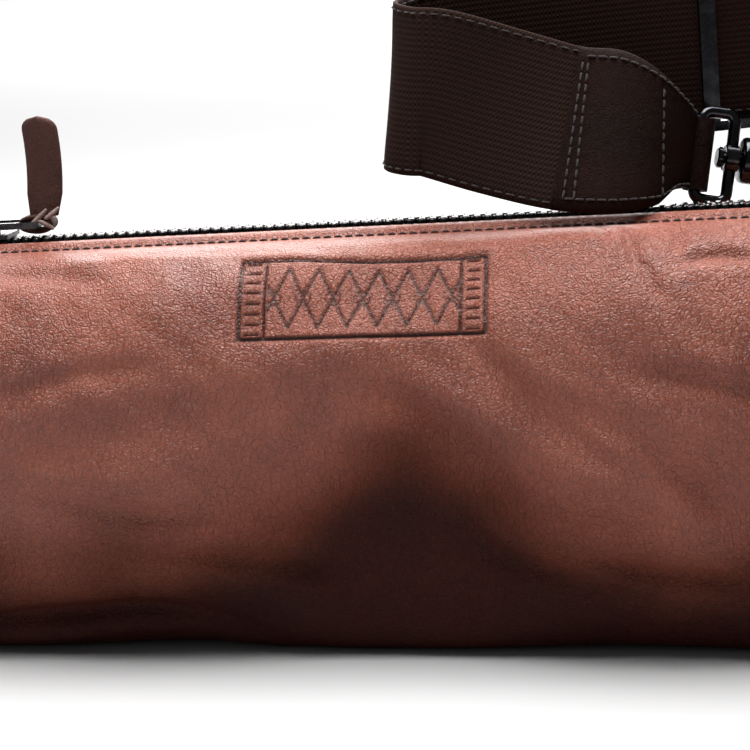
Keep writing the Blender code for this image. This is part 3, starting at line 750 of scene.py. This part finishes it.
# ---- hooks and D-rings ----
def hook_frame(letter):
    """Along the hook towards the strap, its gate's axis and outwards, at the bow's middle."""
    swivel = JOINTS["hook_swivel_" + letter]
    along = Vector(swivel["axis"]).normalized()
    side = Vector(JOINTS["hook_gate_" + letter]["axis"]).normalized()
    return axes(along, side, along.cross(side).normalized(),
                Vector(swivel["pos_m"]) - along * SWIVEL_AT)


def loop_frame(letter):
    """The hook's frame turned about its length to the strap's width."""
    hook = hook_frame(letter)
    along = hook.col[0].to_3d()
    width = Vector((0.20, 0.26, 0.94))
    width = (width - along * width.dot(along)).normalized()
    return axes(along, width.cross(along), width, hook.translation)


def build_hook(mats, letter):
    """Swivel hook: bow, turned shell, gate with its thumb piece, strap loop and boss."""
    at = hook_frame(letter)
    body, gate_body = "hook_" + letter, "gate_" + letter
    dark = mats["hook_metal"]

    def point(a, b, c=0.0):
        return at @ Vector((a, c, b))

    path = [point(0.0165, -0.0040), point(0.0135, -0.0053), point(0.0085, -0.0062),
            point(0.0040, -0.0065)]
    turn = [radians(a) for a in range(0, 181, 6)]
    path += [point(-0.0065 * sin(t), -0.0065 * cos(t)) for t in turn]
    path += [point(0.0008, 0.0065), point(0.0014, 0.0064)]
    radii = [0.0021] * 3 + [0.0019] * (len(path) - 5) + [0.0017, 0.0012]
    bow = tube("hook_bow_" + letter, path, radii, dark, body, sides=24)
    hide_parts("hook_body_" + letter)
    along = at.col[0].to_3d()
    shell = turned("hook_shell_" + letter, at.translation, along,
                   [(0.0136, 0.0040), (0.0140, 0.0050), (0.0150, 0.0055), (0.0285, 0.0062),
                    (0.0297, 0.0060), (0.0300, 0.0066), (0.0303, 0.0069), (0.0312, 0.0070),
                    (0.0345, 0.0070), (0.0349, 0.0064), (0.0353, 0.0064), (0.0357, 0.0070),
                    (0.0430, 0.0070), (0.0438, 0.0067), (0.0442, 0.0060), (0.0443, 0.0019),
                    (0.0496, 0.0017), (0.0497, 0.0028), (0.0500, 0.0032), (0.0510, 0.0032),
                    (0.0514, 0.0026)], dark, body)
    arm = tube("hook_arm_" + letter,
               [point(0.0036, 0.0065), point(0.0060, 0.0063), point(0.0110, 0.0056),
                point(0.0150, 0.0053), point(0.0190, 0.0062), point(0.0215, 0.0066)],
               [0.0012, 0.0014, 0.0014, 0.0015, 0.0014, 0.0010], dark, gate_body, sides=16)
    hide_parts("hook_gate_" + letter)
    thumb = turned("gate_thumb_" + letter, point(0.0100, 0.0055), at.col[2].to_3d(),
                   [(0.0, 0.0013), (0.0024, 0.0013), (0.0029, 0.0021), (0.0038, 0.0022),
                    (0.0042, 0.0016)], dark, gate_body, sides=20)

    loop_at = loop_frame(letter)
    near, far, half, corner = SWIVEL_AT, LOOP_REACH, 0.0133, 0.0028
    path = []
    for a, w, start in ((far - corner, half - corner, 0), (near + corner, half - corner, 90),
                        (near + corner, corner - half, 180), (far - corner, corner - half, 270)):
        path += [loop_at @ Vector((a + corner * cos(t), 0.0, w + corner * sin(t)))
                 for t in (radians(start + d) for d in range(0, 91, 10))]
    loop = tube("strap_loop_" + letter, path, 0.0018, dark, "case", sides=20, closed=True)
    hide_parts("hook_loop_" + letter)
    side, up = at.col[1].to_3d(), at.col[2].to_3d()
    rows = [circle(at.translation + along * a, side, up, r, 32)
            for a, r in ((0.0450, 0.0023), (0.0448, 0.0037), (0.0452, 0.0041), (0.0488, 0.0041),
                         (0.0492, 0.0037), (0.0490, 0.0023))]
    boss = rings("loop_boss_" + letter, rows, dark, "case", closed=True)


def ring_frame(letter):
    """Along the zip, along the D-ring's bar and outwards, at the bar."""
    pivot = JOINTS["d_ring_pivot_" + letter]
    along = Vector((1.0, 0.0, TAPER)).normalized()
    slope = Vector(pivot["axis"]).normalized()
    return axes(along, slope, along.cross(slope).normalized(), pivot["pos_m"])


def build_ring(mats, letter):
    """D-ring wire, the leather tab round its bar, the tab's rivet and stitches."""
    at = ring_frame(letter)
    tilt, half = radians(18), 0.013

    def point(length, across):
        return at @ Vector((-cos(tilt) * length, across, sin(tilt) * length))

    path = [point(0.0, v) for v in np.linspace(half, -half, 9)]
    path += [point(0.005 + 0.012 * sin(t), -half * cos(t))
             for t in np.linspace(0, pi, 40)]
    ring = tube("d_ring_wire_" + letter, path, 0.00175, mats["hook_metal"], "ring_" + letter,
                sides=20, closed=True)
    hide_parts("d_ring_" + letter)
    # leather tab: round the bar and back over itself
    rows = []
    profile = [(0.030, -0.0035), (0.020, -0.0036), (0.004, -0.0037)]
    profile += [(-0.0031 * sin(t), -0.0031 * cos(t) - 0.0002)
                for t in np.linspace(0.1, pi - 0.3, 14)]
    profile += [(0.0040, 0.0018), (0.0075, -0.0008), (0.0120, -0.0016), (0.0300, -0.0018)]
    thick, half_wide = 0.00085, 0.0088
    dense = []
    for p, q in zip(profile, profile[1:]):
        dense += [(p[0] + (q[0] - p[0]) * t, p[1] + (q[1] - p[1]) * t) for t in (0, 0.5)]
    dense.append(profile[-1])
    for i, (a, b) in enumerate(dense):
        p, q = dense[max(i - 1, 0)], dense[min(i + 1, len(dense) - 1)]
        step = Vector((q[0] - p[0], q[1] - p[1])).normalized()
        rows.append([at @ Vector((a + step.y * thick * sin(t), half_wide * rounded(t, 0.4),
                                  b - step.x * thick * sin(t))) for t in turns(20)])
    tab = rings("ring_tab_" + letter, rows, mats["trim_leather"], "case", sharp=0)
    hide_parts("d_ring_tab_" + letter)
    up = at.col[2].to_3d()
    rivet = turned("rivet_cap_" + letter, at @ Vector((0.020, 0.0, -0.0012)), up,
                   [(0.0, 0.0036), (0.0004, 0.0037), (0.0008, 0.0034), (0.0012, 0.0026),
                    (0.0014, 0.0014)], mats["hook_metal"], "case", sides=32)
    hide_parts("tab_rivet_" + letter)
    places = [(at @ Vector((a, v, -0.0010)), at @ Vector((a + 0.0030, v, -0.0010)), up)
              for v in (-0.0072, 0.0072) for a in np.arange(0.0085, 0.0270, 0.0030)]
    seam = stitch_row("ring_tab_stitches_" + letter, places, mats["thread"], "case", 0.0003, 0.0021)


# ---- strap ----
def over_zip(x, y, rise, tilt, lean, half=STRAP_HALF):
    """A key of the strap: its centre, the slopes of its width along x and y, half width."""
    return (x, y, zip_height(x) + rise, tilt, lean, half)


def at_loop(letter):
    """The strap's key where its tab goes round a hook's loop."""
    at = loop_frame(letter)
    point, width = at @ Vector((LOOP_REACH + 0.0026, 0.0, 0.0)), at.col[2]
    return (*point, width.x / width.z, width.y / width.z, 0.0110)


def strap_keys():
    """Keys of the first tab, the webbing and the second tab."""
    tab_a = [at_loop("a"),
             over_zip(-0.1645, 0.0085, 0.0184, 0.20, 0.45, 0.0150),
             over_zip(-0.1715, -0.0005, 0.0215, 0.21, 0.50, 0.0210),
             over_zip(-0.1820, -0.0045, 0.0241, 0.22, 0.46),
             over_zip(-0.1960, -0.0040, 0.0258, 0.23, 0.36)]
    front = [over_zip(-0.2150, -0.0035, 0.0315, 0.23, 0.20),
             over_zip(-0.2330, -0.0030, 0.0375, 0.23, 0.05)]
    turn = []
    for angle in range(-60, 61, 30):
        share, a = (angle + 90) / 180, radians(angle)
        turn.append(over_zip(-0.2345 - 0.013 * cos(a), 0.010 + 0.013 * sin(a),
                             0.0378 + 0.004 * share, 0.23 - 0.27 * share, 0.05 * (1 - share)))
    back = [(-0.2300, 0.0232, 0.0425, -0.03, 0.0), (-0.2050, 0.0280, 0.0440, -0.03, 0.0),
            (-0.1750, 0.0350, 0.0455, 0.0, 0.0), (-0.1550, 0.0400, 0.0460, 0.0, 0.0),
            (-0.1350, 0.0450, 0.0465, 0.0, 0.0), (-0.1150, 0.0500, 0.0470, 0.0, 0.0),
            (-0.0950, 0.0550, 0.0475, 0.0, 0.0), (-0.0550, 0.0590, 0.0440, 0.0, 0.05),
            (-0.0150, 0.0560, 0.0340, 0.1, 0.12), (0.0300, 0.0470, 0.0235, 0.1, 0.20),
            (0.0800, 0.0380, 0.0180, 0.05, 0.25), (0.1400, 0.0340, 0.0180, 0.0, 0.27),
            (0.2000, 0.0300, 0.0200, 0.0, 0.27)]
    back = [over_zip(*row) for row in back]
    tab_b = [over_zip(0.2400, 0.0260, 0.0225, 0.10, 0.27),
             over_zip(0.2640, 0.0225, 0.0215, 0.16, 0.27, 0.0215),
             over_zip(0.2740, 0.0200, 0.0195, 0.19, 0.27, 0.0150),
             at_loop("b")]
    return tab_a, front + turn + back, tab_b


def stations(rows):
    """Centre, width direction, face direction and half width along the strap."""
    centres = [Vector(r[:3]) for r in rows]
    last = len(rows) - 1
    result = []
    for i, row in enumerate(rows):
        along = (centres[min(i + 1, last)] - centres[max(i - 1, 0)]).normalized()
        width = Vector((row[3], row[4], 1.0))
        width = (width - along * width.dot(along)).normalized()
        result.append((centres[i], width, along.cross(width), row[5]))
    return result


def strap_piece(name, rows, thick, material, body, across=24, edge=0.5):
    """A flat strap with rounded edges; UV holds metres along and across."""
    profile = [(w, -1) for w in np.linspace(-1, 1, across)]
    profile += [(1.0, -0.4), (1.0, 0.4)]
    profile += [(-w, 1) for w, _ in profile[:across]]
    profile += [(-1.0, 0.4), (-1.0, -0.4)]
    solid_rows = []
    line = stations(rows)
    run = running(rows[:, :3])
    for centre, width, face, half in line:
        ring = []
        for w, t in profile:
            bulge = 1.0 - 0.25 * abs(w) ** 12
            pull = 1.0 if abs(t) < 1 else 1.0 - edge * 0.0006 / half
            ring.append(centre + width * (w * half * pull) + face * (t * bulge * thick / 2))
        solid_rows.append(ring)
    obj = rings(name, solid_rows, material, body, sharp=60.0)
    layer = obj.data.uv_layers.new(name="strap")
    count = len(profile)
    for poly in obj.data.polygons:
        for index in poly.loop_indices:
            vertex = obj.data.loops[index].vertex_index
            row, column = divmod(vertex, count)
            layer.data[index].uv = (run[row], profile[column][0] * line[row][3])
    return obj


def even_seam(line, track, out_side, lift, pitch=STITCH_PITCH):
    """Stitches at an even pitch along a track of (station, share) points."""
    path, outs = [], []
    for i, w in track:
        low, share = int(i), i - int(i)
        high = min(low + 1, len(line) - 1)
        c = line[low][0].lerp(line[high][0], share)
        width = line[low][1].lerp(line[high][1], share).normalized()
        face = line[low][2].lerp(line[high][2], share).normalized()
        half = line[low][3] * (1 - share) + line[high][3] * share
        path.append(np.array(c + width * (w * half) + face * (out_side * lift)))
        outs.append(np.array(face * out_side))
    path, outs = np.array(path), np.array(outs)
    run = running(path)
    spots = []
    for d in np.arange(0, run[-1] - pitch, pitch):
        spots.append([[np.interp(place, run, values[:, k]) for k in range(3)]
                      for place, values in ((d, path), (d + pitch, path), (d, outs))])
    return spots


def tab_fold(mats, letter):
    """The tab's leather where it wraps the strap loop's far side."""
    at = loop_frame(letter)
    arc = np.linspace(pi * 0.25, pi * 1.75, 20)
    sides = ((0.0041, 0.0039, arc), (0.0022, 0.0022, arc[::-1]))
    rows = [[at @ Vector((LOOP_REACH + long * cos(t), high * sin(t), w))
             for long, high, route in sides for t in route]
            for w in np.linspace(-0.0108, 0.0108, 14)]
    fold = rings("tab_fold_" + letter, rows, mats["strap_leather"], "case")


def tab_stitches(mats, letter, line):
    """Both long edges, a double row at the webbing and one row across the middle."""
    count, rim = len(line) - 1, 0.87
    tracks = [[(i, side * rim) for i in range(3, count)] for side in (1, -1)]
    tracks += [[(place, w) for w in np.linspace(-rim, rim, 12)]
               for place in (count - 2.5, count - 5.0, count * 0.44)]
    spots = [spot for track in tracks for out_side in (-1, 1)
             for spot in even_seam(line, track, out_side, 0.00235)]
    seam = stitch_row("tab_stitches_" + letter, spots, mats["dark_thread"], "case", 0.00032, 0.0024)


def build_strap(mats):
    """Webbing turned back on itself, a leather tab at each end, and their seams."""
    tab_a, middle, tab_b = strap_keys()
    steps = 16
    rows = smooth_curve(tab_a + middle + tab_b, steps)
    first, last = (len(tab_a) - 1) * steps, (len(tab_a) + len(middle)) * steps
    inside_tab = steps * 3 // 2          # the webbing starts inside its tabs
    strap = strap_piece("webbing_strap", rows[first - inside_tab:last + inside_tab], 0.0022,
                        mats["webbing"], "case")
    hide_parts("strap_webbing")
    for letter, part in (("a", rows[:first + 1]), ("b", rows[last:][::-1])):
        tab = strap_piece("leather_tab_" + letter, part, 0.0048, mats["strap_leather"], "case",
                          across=20, edge=1.5)
        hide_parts("strap_tab_" + letter)
        tab_fold(mats, letter)
        tab_stitches(mats, letter, stations(part))
    line = stations(rows[first:last])
    spots = [spot for w in (0.93, -0.93) for out_side in (-1, 1)
             for spot in even_seam(line, [(i, w) for i in range(len(line))], out_side, 0.00105, 0.0036)]
    seam = stitch_row("strap_edge_stitches", spots, mats["dark_thread"], "case", 0.00026, 0.0022)


# ---- whole object ----
def all_materials():
    return {
        # the case leather's last tint is painted shade, laid on by the mesh attribute
        "case_leather": leather("brown_leather", (0.200, 0.046, 0.023), (0.260, 0.064, 0.033),
                                (0.320, 0.088, 0.050), fine=0.00042, shine=0.42,
                                painted_shade_tint=(0.13, 0.085, 0.08)),
        "trim_leather": leather("trim_leather", (0.12, 0.025, 0.014), (0.19, 0.042, 0.025),
                                (0.28, 0.070, 0.043), shine=0.22),
        "strap_leather": leather("strap_leather", (0.007, 0.0022, 0.0015), (0.012, 0.0040, 0.0028),
                                 (0.019, 0.0070, 0.0050), 1500.0, (0.5, 0.7), shine=0.05),
        "puller_leather": leather("puller_leather", (0.060, 0.022, 0.016), (0.095, 0.036, 0.027),
                                  (0.140, 0.058, 0.046), 1600.0, (0.55, 0.75), shine=0.25),
        "raw_edge": leather("raw_edge", (0.28, 0.19, 0.17), (0.42, 0.31, 0.29),
                            (0.55, 0.44, 0.42), 2600.0, (0.7, 0.9)),
        "webbing": webbing("webbing_brown", (0.005, 0.0022, 0.0016), (0.026, 0.011, 0.0075)),
        "thread": cloth("thread_brown", (0.018, 0.006, 0.0045), (0.050, 0.019, 0.014), 0.0005),
        "dark_thread": cloth("thread_dark", (0.006, 0.0028, 0.002), (0.022, 0.010, 0.008), 0.0005),
        "zip_tape": cloth("tape_brown", (0.03, 0.014, 0.011), (0.07, 0.035, 0.028)),
        "zip_metal": metal("dark_zip_metal", (0.030, 0.028, 0.029), 0.24, (0.12, 0.115, 0.11)),
        "hook_metal": metal("dark_nickel", (0.030, 0.030, 0.034), 0.16, (0.07, 0.068, 0.072)),
        "foam": foam("foam"),
        "lining": cloth("lining_brown", (0.13, 0.07, 0.045), (0.24, 0.14, 0.095)),
    }


def dress_nodes(mats):
    """Better materials for the CAD nodes that stay in view."""
    for part in frame["record"]["subparts"]:
        node = frame["nodes"].get(part["node"])
        if node is None:
            continue
        slot = part["material_slot"]
        if part["node"].startswith("zip_end_tab"):
            slot = "trim_leather"
        node.data.materials.clear()
        node.data.materials.append(mats[slot])


def stage():
    """Plain floor, faint even light and three soft lamps."""
    half = 14.0
    mesh = bpy.data.meshes.new("floor")
    mesh.from_pydata([(-half, -half, 0), (half, -half, 0), (half, half, 0), (-half, half, 0)], [],
                     [(0, 1, 2, 3)])
    mesh.materials.append(Nodes("floor").finish(Base_Color=(0.55, 0.55, 0.55, 1.0), Roughness=0.8))
    floor = add_object("floor", mesh)
    floor.location.z = -0.0005
    bpy.context.scene.view_settings.view_transform = "Standard"
    world = bpy.data.worlds.new("studio")
    world.use_nodes = True
    background = world.node_tree.nodes["Background"]
    background.inputs["Color"].default_value = (*WHITE, 1.0)
    background.inputs["Strength"].default_value = 0.12
    bpy.context.scene.world = world
    target = Vector((VIEW_X, 0.0, 0.06))
    for name, place, size, power in (("key", (-0.35, -0.10, 1.00), 0.60, 15.0),
                                     ("top", (-0.15, 0.35, 0.95), 0.70, 16.0),
                                     ("back", (-0.30, 5.20, 3.00), 5.00, 520.0)):
        data = bpy.data.lights.new(name, "AREA")
        data.size, data.energy = size, power
        lamp = add_object(name, data)
        lamp.location = place
        lamp.rotation_euler = (target - Vector(place)).to_track_quat("-Z", "Y").to_euler()


def camera():
    """From the front, moved a little to the right and up, with a slight roll."""
    data = bpy.data.cameras.new("camera")
    cam = add_object("camera", data)
    target = Vector((VIEW_X, 0.0, 0.0775))
    turn, rise, distance = radians(8), radians(13), 0.60
    picture_width, sensor = 0.2294, 36.0
    cam.location = target + distance * Vector((sin(turn) * cos(rise),
                                               -cos(turn) * cos(rise), sin(rise)))
    look = (target - cam.location).to_track_quat("-Z", "Y")
    roll = Matrix.Rotation(radians(-2.4), 3, "Z").to_quaternion()
    cam.rotation_euler = (look @ roll).to_euler()
    data.sensor_width = sensor
    data.lens = sensor * distance / picture_width
    data.clip_start = 0.01
    bpy.context.scene.camera = cam


camera()
stage()
MATERIALS = all_materials()
dress_nodes(MATERIALS)
build_body(MATERIALS)
build_ends(MATERIALS)
build_seams(MATERIALS)
build_zip(MATERIALS)
build_puller(MATERIALS)
for LETTER in "ab":
    build_ring(MATERIALS, LETTER)
    build_hook(MATERIALS, LETTER)
build_strap(MATERIALS)
